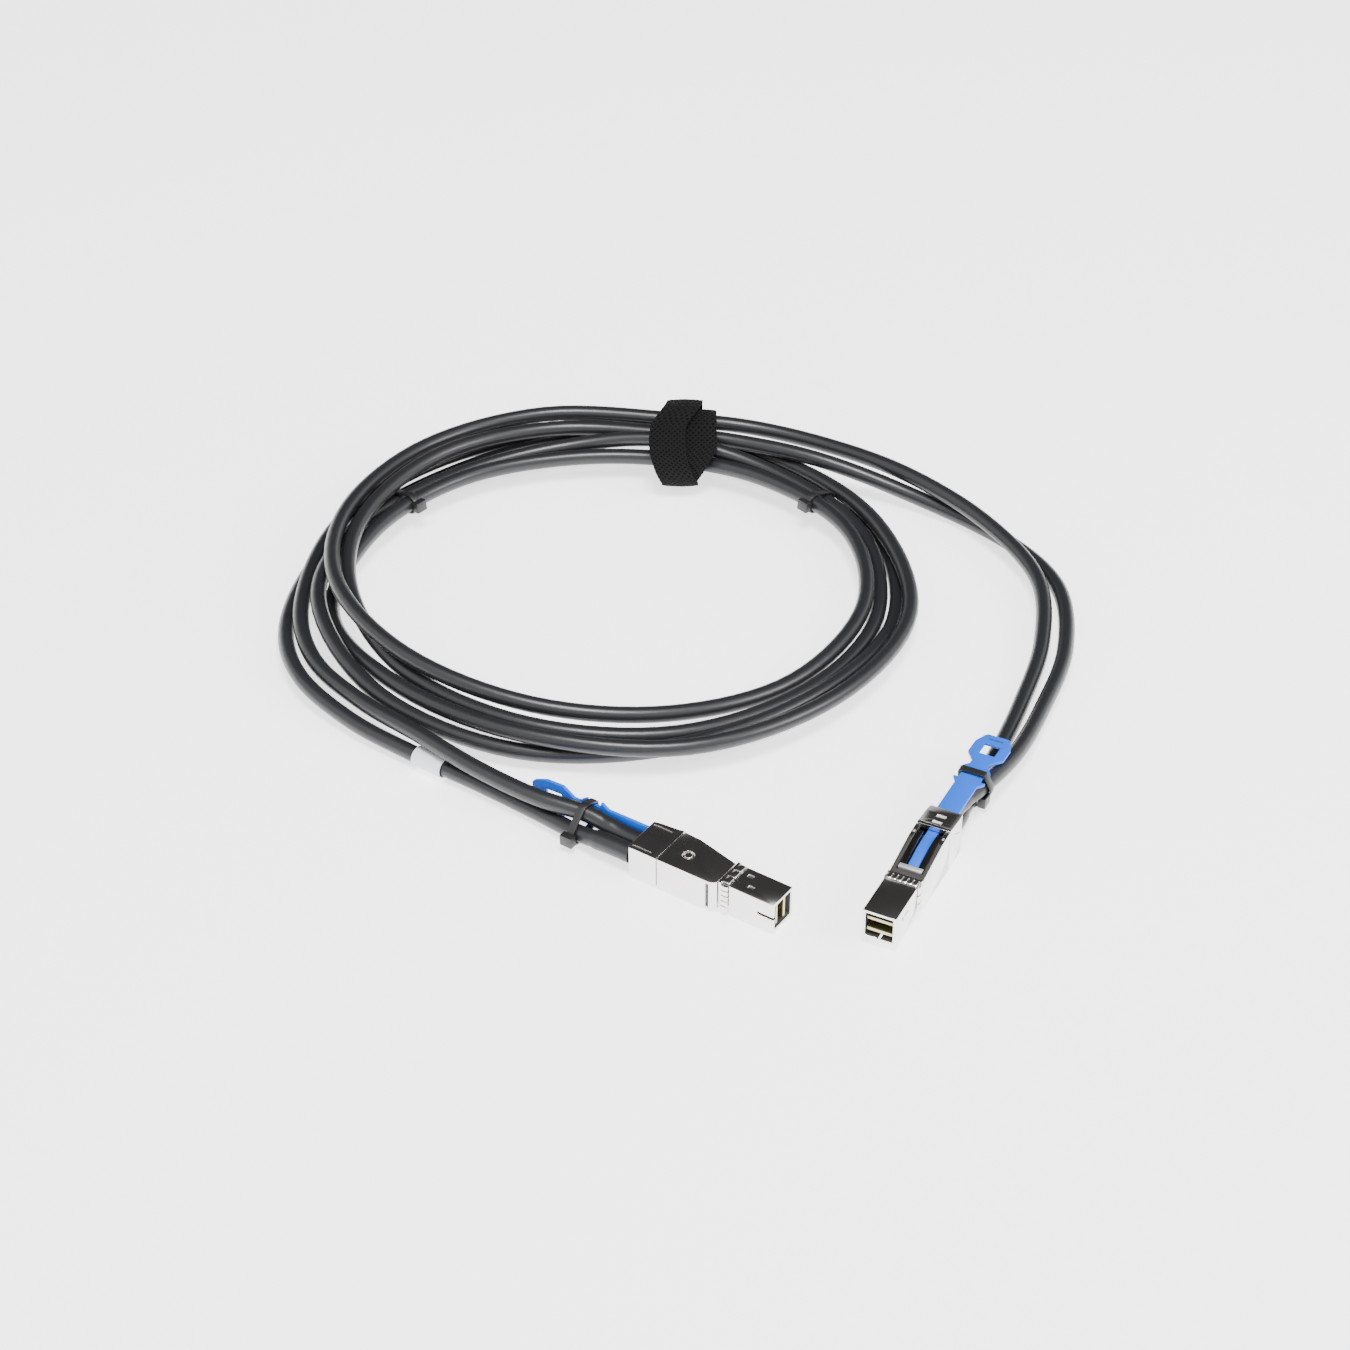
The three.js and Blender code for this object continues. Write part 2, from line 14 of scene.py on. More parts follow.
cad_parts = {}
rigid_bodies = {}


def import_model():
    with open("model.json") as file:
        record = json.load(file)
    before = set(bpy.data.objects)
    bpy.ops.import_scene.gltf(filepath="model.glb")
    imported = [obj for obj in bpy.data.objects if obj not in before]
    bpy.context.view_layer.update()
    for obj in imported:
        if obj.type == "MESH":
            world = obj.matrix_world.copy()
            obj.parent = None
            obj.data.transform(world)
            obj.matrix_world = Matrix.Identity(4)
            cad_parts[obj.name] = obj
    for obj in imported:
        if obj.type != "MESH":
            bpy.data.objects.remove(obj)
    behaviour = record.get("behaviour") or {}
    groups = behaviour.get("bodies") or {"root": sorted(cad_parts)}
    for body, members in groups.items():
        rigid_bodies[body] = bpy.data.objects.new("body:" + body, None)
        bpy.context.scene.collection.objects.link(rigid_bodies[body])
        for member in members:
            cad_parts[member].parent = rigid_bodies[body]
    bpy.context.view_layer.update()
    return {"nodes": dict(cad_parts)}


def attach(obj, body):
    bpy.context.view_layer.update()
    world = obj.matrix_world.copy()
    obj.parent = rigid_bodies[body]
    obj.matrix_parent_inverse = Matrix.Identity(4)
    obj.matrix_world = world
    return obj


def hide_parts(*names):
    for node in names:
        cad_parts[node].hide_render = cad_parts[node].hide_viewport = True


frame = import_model()
nodes = frame["nodes"]

# %% [markdown]
# The route points were set out in millimetres from one corner of the layout,
# and the whole part was then moved so that its plugs, strap and ties sit in
# the middle. The same move is applied here to every point.

# %% Units and places
MM = 0.001
MOVE = Vector((-2.109, -5.54, 0.0))


def place(x, y, z):
    """A point of the layout, in metres in the row frame."""
    return (Vector((x, y, z)) + MOVE) * MM


print("the layout's zero lies at", [round(v, 6) for v in place(0, 0, 0)])

# %% [markdown]
# An operator acts on everything that is selected, and loading leaves the
# solids selected. Two helpers make sure that one piece alone is worked on.

# %% Choosing one piece


def deselect():
    """Leaves nothing selected, so that an operator acts on one piece alone."""
    for other in bpy.context.view_layer.objects:
        other.select_set(False)


def choose(obj):
    """Makes one object the selected and active one."""
    deselect()
    obj.select_set(True)
    bpy.context.view_layer.objects.active = obj


deselect()
print("selected now:", len(bpy.context.selected_objects))

# %% [markdown]
# The camera comes first, because the cable has to fill the picture as it
# does in the photograph. A square picture with an 80 mm lens, placed almost
# a metre away and looking down by 37 degrees, gives the same perspective.

# %% Camera
CAMERA_PLACE = (0, -772.5, 584.3)
LENS = 80
SENSOR = 36
target = place(0, 0, 0)
camera_data = bpy.data.cameras.new("camera")
camera_data.lens = LENS
camera_data.sensor_width = SENSOR
camera_data.clip_start = 0.01
camera = bpy.data.objects.new("camera", camera_data)
camera.location = place(*CAMERA_PLACE)
view = target - camera.location
camera.rotation_euler = view.to_track_quat("-Z", "Y").to_euler()
bpy.context.scene.collection.objects.link(camera)
bpy.context.scene.camera = camera
print("camera at", [round(v, 4) for v in camera.location])

# %% [markdown]
# The two cables run side by side from the right plug, twice round the coil
# and out to the left plug. These are the points that their middles pass, in
# millimetres of the layout, with the height above the floor last.

# %% Cable routes, from the right plug to the left plug
ROUTE_A = [
    (80.9, -84.8, 3.2), (84.8, -77.0, 3.3), (90.3, -65.0, 3.75), (99.5, -45.4, 3.2),
    (109.7, -19.2, 3.2), (119.2, 11.4, 4.7), (120.7, 44.6, 6.8), (105.5, 75.1, 9.0),
    (80.3, 101.6, 10.9), (54.4, 121.9, 9.4), (26.8, 132.6, 10.3), (0.5, 133.6, 12.9),
    (-46.5, 135.3, 14.1), (-87.2, 114.7, 14.0), (-111.1, 73.5, 15.3), (-110.4, 26.7, 18.0),
    (-84.7, -11.8, 16.6), (-44.4, -31.0, 11.9), (-1.2, -30.2, 7.8), (37.4, -10.2, 5.1),
    (62.0, 27.7, 7.5), (58.3, 70.6, 9.0), (29.6, 101.1, 9.7), (-5.6, 115.0, 8.6),
    (-39.9, 114.0, 9.0), (-74.3, 101.3, 9.0), (-101.6, 71.2, 8.5), (-112.8, 25.8, 6.2),
    (-89.4, -16.2, 9.6), (-48.0, -45.0, 11.6), (4.1, -49.7, 9.9), (50.4, -23.2, 8.7),
    (76.9, 23.3, 7.9), (68.2, 74.3, 9.3), (40.0, 113.5, 6.8), (0.1, 134.0, 6.9),
    (-45.3, 134.3, 6.4), (-85.7, 113.1, 7.7), (-114.2, 74.1, 8.9), (-122.5, 24.1, 8.7),
    (-115.6, -2.3, 7.6), (-98.6, -24.5, 8.0), (-79.7, -43.1, 9.9), (-60.0, -60.8, 9.9),
    (-41.5, -73.6, 9.4), (-25.5, -80.2, 8.0), (-16.5, -85.8, 5.8), (-9.3, -90.65, 5.8),
]
ROUTE_B = [
    (80.9, -84.8, 9.2), (84.8, -77.0, 9.05), (93.1, -67.1, 8.4), (105.0, -48.8, 6.3),
    (116.2, -23.0, 4.7), (126.4, 7.5, 4.7), (127.6, 41.4, 4.9), (114.1, 71.0, 2.8),
    (84.7, 95.0, 5.1), (49.4, 109.4, 12.0), (19.7, 120.2, 12.6), (-2.9, 124.4, 12.9),
    (-43.3, 127.0, 13.2), (-81.4, 108.9, 14.5), (-105.5, 71.9, 13.6), (-106.2, 27.9, 13.6),
    (-85.2, -12.3, 10.6), (-46.1, -37.0, 8.7), (1.0, -38.4, 6.2), (42.2, -14.8, 5.0),
    (66.2, 26.1, 3.7), (63.4, 72.2, 6.3), (33.7, 105.5, 9.2), (-4.1, 118.8, 13.9),
    (-41.4, 119.9, 9.7), (-78.1, 105.4, 7.1), (-107.7, 72.8, 8.3), (-116.7, 25.1, 12.0),
    (-93.4, -20.9, 8.1), (-48.8, -46.0, 5.4), (2.6, -44.5, 6.5), (46.1, -18.7, 7.3),
    (72.0, 24.6, 3.8), (68.6, 74.3, 2.8), (36.6, 109.4, 3.4), (-1.7, 128.0, 7.6),
    (-43.6, 127.9, 6.3), (-82.9, 110.2, 3.2), (-114.8, 74.3, 2.9), (-127.1, 22.7, 4.9),
    (-120.4, -7.6, 6.1), (-102.3, -29.1, 4.5), (-81.3, -45.0, 3.6), (-60.0, -59.7, 3.5),
    (-42.4, -72.4, 3.2), (-28.9, -83.8, 4.0), (-19.8, -90.6, 5.6), (-12.65, -95.55, 5.8),
]
print("route points:", len(ROUTE_A), "and", len(ROUTE_B))

# %% [markdown]
# Each jacket follows one smooth line. The line is a centripetal spline, the
# kind that passes through all of its points without overshooting where
# they lie close together, so neighbouring turns keep their distance.

# %% A smooth line through the points
STEPS = 8


def smooth_line(points):
    """Points close together on the centripetal spline through the given ones."""
    first = points[0] * 2 - points[1]
    last = points[-1] * 2 - points[-2]
    padded = [first] + points + [last]
    line = []
    for i in range(1, len(padded) - 2):
        p0, p1, p2, p3 = padded[i - 1:i + 3]
        t0 = math.sqrt((p1 - p0).length)
        t1 = math.sqrt((p2 - p1).length)
        t2 = math.sqrt((p3 - p2).length)
        out = ((p1 - p0) / t0 - (p2 - p0) / (t0 + t1) + (p2 - p1) / t1) * t1
        into = ((p2 - p1) / t1 - (p3 - p1) / (t1 + t2) + (p3 - p2) / t2) * t1
        for k in range(STEPS):
            w = k / STEPS
            line.append(
                p1 * (2 * w ** 3 - 3 * w ** 2 + 1) + out * (w ** 3 - 2 * w ** 2 + w)
                + p2 * (3 * w ** 2 - 2 * w ** 3) + into * (w ** 3 - w ** 2))
    line.append(padded[-2])
    return line


def length_of(line):
    """The length along a list of points."""
    return sum((b - a).length for a, b in zip(line, line[1:]))


print("each stretch between two points is drawn in", STEPS, "steps")

# %% [markdown]
# A curve with a round section is the natural way to draw a cable. Close to
# the plugs a tight sleeve of shrunk tube covers the jacket, which shows as a
# slightly thicker end with a small step, so the radius is larger there.

# %% Draw the two cables
CABLE_RADIUS = 0.0027
SLEEVE_LENGTH = 0.013
SLEEVE_GROW = 1.14


def draw_cable(name, node, route):
    """One jacket as a round curve, with the sleeves' thicker ends."""
    line = smooth_line([place(*p) for p in route])
    total = length_of(line)
    curve = bpy.data.curves.new(name, "CURVE")
    curve.dimensions = "3D"
    curve.bevel_depth = 1.0
    curve.bevel_resolution = 5
    curve.use_fill_caps = True
    spline = curve.splines.new("POLY")
    spline.points.add(len(line) - 1)
    walked = 0.0
    for i, point in enumerate(line):
        if i:
            walked += (point - line[i - 1]).length
        spline.points[i].co = (*point, 1.0)
        from_plug_end = min(walked, total - walked)
        grow = SLEEVE_GROW if from_plug_end < SLEEVE_LENGTH else 1.0
        spline.points[i].radius = CABLE_RADIUS * grow
    spline.use_smooth = True
    obj = bpy.data.objects.new(name, curve)
    bpy.context.scene.collection.objects.link(obj)
    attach(obj, "cable_set")
    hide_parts(node)
    print(name, "is", round(total, 4), "m long")
    return obj


jacket_a = draw_cable("jacket_a", "cable_a", ROUTE_A)
jacket_b = draw_cable("jacket_b", "cable_b", ROUTE_B)

# %% [markdown]
# The light is a white studio: bright all round, with one darker zone behind
# and above, which is what flat metal facing up mirrors back to the camera.
# The camera itself sees plain pale grey instead of the studio. Shaders are
# built from nodes here and below, so one helper sets a node's values by name.

# %% Studio


def set_inputs(node, **values):
    """Sets inputs of a node; an underscore in a name stands for a space."""
    for key, value in values.items():
        node.inputs[key.replace("_", " ")].default_value = value


DARK_TOWARD = (0.0, 0.68, 0.74)
DARK_STARTS, DARK_FULL = 0.62, 0.86
BRIGHT, DARK = 1.95, 0.05
BACKDROP = 3.2
world = bpy.data.worlds.new("studio")
bpy.context.scene.world = world
world.use_nodes = True
wn = world.node_tree.nodes
wl = world.node_tree.links
wn.clear()
out = wn.new("ShaderNodeOutputWorld")
coord = wn.new("ShaderNodeTexCoord")
dot = wn.new("ShaderNodeVectorMath")
dot.operation = "DOT_PRODUCT"
dot.inputs[1].default_value = Vector(DARK_TOWARD).normalized()
ramp = wn.new("ShaderNodeMapRange")
ramp.interpolation_type = "SMOOTHSTEP"
set_inputs(ramp, From_Min=DARK_STARTS, From_Max=DARK_FULL, To_Min=BRIGHT, To_Max=DARK)
studio = wn.new("ShaderNodeBackground")
plain = wn.new("ShaderNodeBackground")
set_inputs(plain, Color=(1.0, 1.0, 1.0, 1), Strength=BACKDROP)
path = wn.new("ShaderNodeLightPath")
mix = wn.new("ShaderNodeMixShader")
wl.new(coord.outputs["Generated"], dot.inputs[0])
wl.new(dot.outputs["Value"], ramp.inputs["Value"])
wl.new(ramp.outputs["Result"], studio.inputs["Strength"])
wl.new(path.outputs["Is Camera Ray"], mix.inputs["Fac"])
wl.new(studio.outputs["Background"], mix.inputs[1])
wl.new(plain.outputs["Background"], mix.inputs[2])
wl.new(mix.outputs["Shader"], out.inputs["Surface"])
print("studio strength from", BRIGHT, "down to", DARK)

# %% [markdown]
# The floor lies a hair below the cable's own z = 0, so that the two surfaces
# never fight where they meet. Two soft square lamps draw the long highlights
# along the jackets, one from above and one from the right.

# %% Floor and lamps
FLOOR_SIZE = 6
FLOOR_DROP = 0.0004
deselect()
bpy.ops.mesh.primitive_plane_add(size=FLOOR_SIZE, location=(0, 0, -FLOOR_DROP))
floor = bpy.context.active_object
floor.name = "floor"


def new_light(name, location, size, power):
    """A soft square lamp that looks at the middle of the part."""
    data = bpy.data.lights.new(name, "AREA")
    data.shape = "SQUARE"
    data.size = size
    data.energy = power
    lamp = bpy.data.objects.new(name, data)
    lamp.location = location
    lamp.rotation_euler = (-Vector(location)).to_track_quat("-Z", "Y").to_euler()
    bpy.context.scene.collection.objects.link(lamp)
    print(name, "gives", power, "W")


new_light("overhead_softbox", (0.05, -0.42, 1.35), 0.42, 26)
new_light("right_softbox", (1.05, -0.35, 0.75), 0.5, 10)

# %% [markdown]
# Shared wear and grain come from one shader group, so that every finish has
# fine variation at its own scale and strength instead of one flat value.

# %% Shader group for fine grain
GRAIN_DEPTH = 0.00005
grain = bpy.data.node_groups.new("fine_grain", "ShaderNodeTree")
face = grain.interface
for label, low, high, value in (
        ("Scale", 0, 1e5, 900), ("Low", 0, 1, 0.2), ("High", 0, 1, 0.3), ("Bump", 0, 1, 0.2)):
    socket = face.new_socket(label, in_out="INPUT", socket_type="NodeSocketFloat")
    socket.min_value = low
    socket.max_value = high
    socket.default_value = value
face.new_socket("Roughness", in_out="OUTPUT", socket_type="NodeSocketFloat")
face.new_socket("Normal", in_out="OUTPUT", socket_type="NodeSocketVector")
gn = grain.nodes
gl = grain.links
g_in = gn.new("NodeGroupInput")
g_out = gn.new("NodeGroupOutput")
g_coord = gn.new("ShaderNodeTexCoord")
g_noise = gn.new("ShaderNodeTexNoise")
g_noise.inputs["Detail"].default_value = 4
g_map = gn.new("ShaderNodeMapRange")
g_bump = gn.new("ShaderNodeBump")
g_bump.inputs["Distance"].default_value = GRAIN_DEPTH
gl.new(g_coord.outputs["Object"], g_noise.inputs["Vector"])
gl.new(g_in.outputs["Scale"], g_noise.inputs["Scale"])
gl.new(g_noise.outputs["Fac"], g_map.inputs["Value"])
gl.new(g_in.outputs["Low"], g_map.inputs["To Min"])
gl.new(g_in.outputs["High"], g_map.inputs["To Max"])
gl.new(g_noise.outputs["Fac"], g_bump.inputs["Height"])
gl.new(g_in.outputs["Bump"], g_bump.inputs["Strength"])
gl.new(g_map.outputs["Result"], g_out.inputs["Roughness"])
gl.new(g_bump.outputs["Normal"], g_out.inputs["Normal"])
print("fine grain has", len(gn), "nodes")

# %% [markdown]
# The castings are bright nickel, which is a metal with low roughness and a
# very fine relief. The latch is darker, the jackets are soft black plastic
# and the tabs are moulded blue. Each finish is one line in a table of values:
# colour, metal or not, lowest and highest roughness, grain size and relief.

# %% Finishes


def new_finish(name, color, metallic, low, high, scale, bump, **more):
    """A finish with its own colour, and roughness and relief from the grain."""
    mat = bpy.data.materials.new(name)
    mat.use_nodes = True
    tree = mat.node_tree
    shader = tree.nodes["Principled BSDF"]
    set_inputs(shader, Base_Color=(*color, 1), Metallic=metallic, **more)
    group = tree.nodes.new("ShaderNodeGroup")
    group.node_tree = grain
    set_inputs(group, Scale=scale, Low=low, High=high, Bump=bump)
    tree.links.new(group.outputs["Roughness"], shader.inputs["Roughness"])
    tree.links.new(group.outputs["Normal"], shader.inputs["Normal"])
    return mat


nickel = new_finish("bright_nickel", (0.80, 0.765, 0.75), 1, 0.15, 0.21, 2600, 0.03)
# A lighter, matt copy of the nickel: a painted highlight on the latch's front bar, two small
# faces of the cover and the latch pins.
painted_highlight = new_finish("matt_nickel_painted_highlight", (0.88, 0.87, 0.86), 1, 0.5, 0.6, 2600, 0.05)
dark_nickel = new_finish("polished_latch", (0.34, 0.33, 0.32), 1, 0.14, 0.22, 2600, 0.03)
recess = new_finish("shaded_recess", (0.022, 0.020, 0.018), 0, 0.5, 0.7, 900, 0.1)
jacket = new_finish("black_jacket", (0.013, 0.0135, 0.0155), 0, 0.26, 0.40, 900, 0.12)
blue = new_finish("blue_tab", (0.006, 0.105, 0.62), 0, 0.42, 0.54, 1500, 0.05,
                  Specular_IOR_Level=0.35)
# A darker copy of the tab's blue: painted shade along the handle's ridge.
groove_shade_blue = new_finish("blue_groove_painted_shade", (0.006, 0.045, 0.22), 0, 0.5, 0.6, 900, 0.05)
board = new_finish("board_edge", (0.70, 0.62, 0.34), 0, 0.4, 0.6, 1500, 0.1)
board_face = new_finish("board_mask", (0.045, 0.055, 0.022), 0, 0.35, 0.5, 1500, 0.1)
gold = new_finish("gold_contact", (0.86, 0.62, 0.25), 1, 0.18, 0.3, 900, 0.05)
insulator = new_finish("dark_insulator", (0.015, 0.013, 0.011), 0, 0.5, 0.7, 900, 0.1)
tie_black = new_finish("black_tie", (0.012, 0.012, 0.013), 0, 0.30, 0.44, 900, 0.1)
film = new_finish("white_film", (0.72, 0.74, 0.77), 0, 0.3, 0.45, 700, 0.05)
pale = new_finish("pale_floor", (0.95, 0.95, 0.95), 0, 0.8, 0.9, 300, 0.0,
                  Emission_Color=(1, 1, 1, 1), Emission_Strength=1.7)
print("finishes:", ", ".join(mat.name for mat in bpy.data.materials))

# %% [markdown]
# The strap is a knitted tape with a pile of tiny loops. Close up it is a
# staggered grid of dark pits between soft lighter tufts. Two sine waves, one
# along the tape and one across it, give that grid when they are multiplied,
# and a little noise keeps the rows from looking printed.

# %% Knit grid
KNIT_PITCH = 0.0020
weave = bpy.data.materials.new("black_weave")
weave.use_nodes = True
wt = weave.node_tree
cloth = wt.nodes["Principled BSDF"]
set_inputs(cloth, Roughness=0.9, Specular_IOR_Level=0.08)


def maths_node(operation, first, second=None):
    """A maths node on the woven finish, fed by a socket and maybe a number."""
    node = wt.nodes.new("ShaderNodeMath")
    node.operation = operation
    wt.links.new(first, node.inputs[0])
    if second is not None:
        node.inputs[1].default_value = second
    return node


w_uv = wt.nodes.new("ShaderNodeUVMap")
w_uv.uv_map = "tape"
w_split = wt.nodes.new("ShaderNodeSeparateXYZ")
wt.links.new(w_uv.outputs["UV"], w_split.inputs["Vector"])
waves = []
for axis in ("X", "Y"):
    stretch = maths_node("MULTIPLY", w_split.outputs[axis], 2 * math.pi / KNIT_PITCH)
    waves.append(maths_node("SINE", stretch.outputs["Value"]))
grid = maths_node("MULTIPLY", waves[0].outputs["Value"])
wt.links.new(waves[1].outputs["Value"], grid.inputs[1])
print("the knit repeats every", KNIT_PITCH, "m")

# %% [markdown]
# The grid and the noise together say how deep a spot lies in the pile. The
# same value sets its relief and its tone: the pits are painted darker than
# the tufts, as painted shade in the pits of the one black yarn.

# %% Painted pit shade and relief of the weave
PIT_STARTS, PIT_FULL = -0.25, 0.20
# The pit tone is painted shade; the tuft tone is the tape's own colour.
TUFT_TONE, PIT_SHADE_TONE = 0.0085, 0.0008
PILE_RELIEF = 0.0003
w_coord = wt.nodes.new("ShaderNodeTexCoord")
w_noise = wt.nodes.new("ShaderNodeTexNoise")
set_inputs(w_noise, Scale=1300, Detail=3)
wt.links.new(w_coord.outputs["Object"], w_noise.inputs["Vector"])
pile_mix = maths_node("MULTIPLY_ADD", w_noise.outputs["Fac"], -1.0)
wt.links.new(grid.outputs["Value"], pile_mix.inputs[2])
# Painted shade: the tone falls from the tufts' to the pits' as a spot lies deeper.
w_pit_shade = wt.nodes.new("ShaderNodeMapRange")
set_inputs(w_pit_shade, From_Min=PIT_STARTS, From_Max=PIT_FULL, To_Min=TUFT_TONE, To_Max=PIT_SHADE_TONE)
wt.links.new(pile_mix.outputs["Value"], w_pit_shade.inputs["Value"])
wt.links.new(w_pit_shade.outputs["Result"], cloth.inputs["Base Color"])
w_bump = wt.nodes.new("ShaderNodeBump")
w_bump.invert = True
set_inputs(w_bump, Strength=0.8, Distance=PILE_RELIEF)
wt.links.new(pile_mix.outputs["Value"], w_bump.inputs["Height"])
wt.links.new(w_bump.outputs["Normal"], cloth.inputs["Normal"])
print("the weave has", len(wt.nodes), "nodes")

# %% [markdown]
# The floor and the cables are there already, so they get their finish now.
# The solids get theirs later, each with its copy.

# %% Finish of the floor and the cables
floor.data.materials.append(pale)
for obj in (jacket_a, jacket_b):
    obj.data.materials.append(jacket)
print("the floor is", pale.name, "and the cables are", jacket.name)

# %% [markdown]
# Each plug has its own axes: x points out of the mouth and z toward the
# latch. Plug A lies on its side and plug B stands with its latch on top. A
# matrix carries a point of the plug, in millimetres, to its place.

# %% Places on the plugs
PLUG_AXES = {
    "a": ((29.091, -126.14, 5.82), (0.8261, -0.5635, 0), (0, 0, -1), (0.5635, 0.8261, 0)),
    "b": ((56.391, -135.34, 7.2), (-0.4462, -0.8949, 0), (0.8949, -0.4462, 0), (0, 0, 1)),
}


def plug_matrix(side):
    """The move from a plug's own axes, in millimetres, to the row frame."""
    origin, x, y, z = (Vector(v) for v in PLUG_AXES[side])
    turn = Matrix((x, y, z)).transposed().to_4x4()
    return Matrix.Scale(MM, 4) @ Matrix.Translation(origin) @ turn


def within(point, box):
    """True if a point lies in a box given as x, y and z pairs."""
    return all(box[2 * k] <= point[k] <= box[2 * k + 1] for k in range(3))


for side in PLUG_AXES:
    mouth = plug_matrix(side) @ Vector((0, 0, 0))
    print("plug", side, "has its zero at", [round(v, 4) for v in mouth])

# %% [markdown]
# Real cast and stamped edges are never sharp: they catch a thin line of
# light. Each measured solid is copied, its loose triangles are merged into
# faces, and a small bevel rounds every edge that turns more than 25 degrees.

# %% Rounded copies of the solids
SAME_POINT = 0.000002
FLAT_TURN = math.radians(1.0)
EDGE_TURN = math.radians(25)
SMOOTH_TURN = math.radians(40)
CORNER_REACH = 0.06


def merged_copy(node):
    """A copy of a solid with its points joined and its flat faces whole."""
    source = nodes[node]
    obj = source.copy()
    obj.data = source.data.copy()
    obj.parent = None
    obj.name = node + "_finish"
    bpy.context.scene.collection.objects.link(obj)
    obj.matrix_world = Matrix.Identity(4)
    choose(obj)
    bpy.ops.object.mode_set(mode="EDIT")
    bpy.ops.mesh.select_all(action="SELECT")
    bpy.ops.mesh.remove_doubles(threshold=SAME_POINT)
    bpy.ops.mesh.dissolve_limited(angle_limit=FLAT_TURN)
    bpy.ops.object.mode_set(mode="OBJECT")
    obj.data.materials.clear()
    return obj


def rounded(node, width, mat, body="cable_set", side=None, marks=(), moves=()):
    """A softened copy; marks give other finishes, moves shift corners."""
    obj = merged_copy(node)
    if side:
        to_row = plug_matrix(side)
        to_plug = to_row.inverted()
        for vertex in obj.data.vertices:
            place_on_plug = to_plug @ vertex.co
            for (old_x, old_y), (new_x, new_y) in moves:
                x, y, z = place_on_plug
                if abs(x - old_x) < CORNER_REACH and abs(abs(y) - old_y) < CORNER_REACH:
                    vertex.co = to_row @ Vector((new_x, math.copysign(new_y, y), z))
    bevel = obj.modifiers.new("soft_edges", "BEVEL")
    bevel.width = width
    bevel.segments = 2
    bevel.limit_method = "ANGLE"
    bevel.angle_limit = EDGE_TURN
    bevel.use_clamp_overlap = True
    bpy.ops.object.modifier_apply(modifier=bevel.name)
    bpy.ops.object.shade_smooth_by_angle(angle=SMOOTH_TURN)
    obj.data.materials.append(mat)
    for number, (other, boxes) in enumerate(marks):
        obj.data.materials.append(other)
        for polygon in obj.data.polygons:
            centre = to_plug @ polygon.center
            if any(within(centre, box) for box in boxes):
                polygon.material_index = number + 1
    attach(obj, body)
    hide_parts(node)


print("edges that turn more than", round(math.degrees(EDGE_TURN)), "degrees are rounded")

# %% [markdown]
# Inside the mouth, in the window and in the stamped slots hardly any light
# arrives. Those faces get a dark finish, chosen by where they lie on the
# plug. The latch's front bar and two small faces on the cover get a lighter,
# matt nickel that stays bright from every side: a painted highlight.

# %% Where the other finishes lie
NOSE_INSIDE = (
    (-18.2, -0.15, -4.33, 4.33, -4.2, 4.2),
    (-5.7, -0.1, -0.5, 0.5, -5.0, -4.1),
    (-13.4, -11.6, -4.95, -4.75, 1.7, 2.7), (-10.7, -8.9, -4.95, -4.75, -2.4, -1.4),
    (-9.2, -6.8, 4.75, 4.95, 1.2, 1.9), (-5.9, -4.6, 4.75, 4.95, 0.9, 1.9),
)
HOUSING_INSIDE = (
    (-39.6, -21.35, -4.02, 4.02, -6.6, 7.2),
    (-22.35, -21.35, -4.35, 4.55, -6.7, -6.5),
)
COVER_INSIDE = (
    (-48.95, -39.9, -4.43, 4.43, -6.25, 6.55),
    (-48.9, -42.5, -5.2, -4.95, -5.95, -5.45), (-48.9, -42.5, -5.2, -4.95, 5.25, 5.75),
    (-49.15, -48.65, 4.95, 5.2, -3.1, 5.5),
)
# Small faces on the cover's top that get the painted highlight nickel.
COVER_PAINTED_HIGHLIGHT = (
    (-46.55, -45.25, -1.45, 1.45, 6.8, 7.0),
    (-43.15, -41.95, -1.45, 1.45, 7.15, 7.35),
)
# The latch's front bar, also in the painted highlight nickel.
LATCH_BAR = ((-24.2, -21.5, -4.0, 4.0, 3.0, 6.0),)
UPPER_FACES = ((-16.5, -1.2, -3.9, 3.9, 2.45, 2.55), (-16.5, -1.2, -3.9, 3.9, 1.45, 1.55))
LOWER_FACES = ((-16.5, -1.2, -3.9, 3.9, -1.65, -1.55), (-16.5, -1.2, -3.9, 3.9, -2.65, -2.55))
print("dark boxes:", len(NOSE_INSIDE) + len(HOUSING_INSIDE) + len(COVER_INSIDE))

# %% [markdown]
# Every solid gets its finish here. The blue tab also gets its ears, which are
# the small barbs beside the tie, and a longer slim strip in the window. Its
# own corners are moved for this, so it stays one piece. Each pair of places
# is a corner's old and new x and half width.

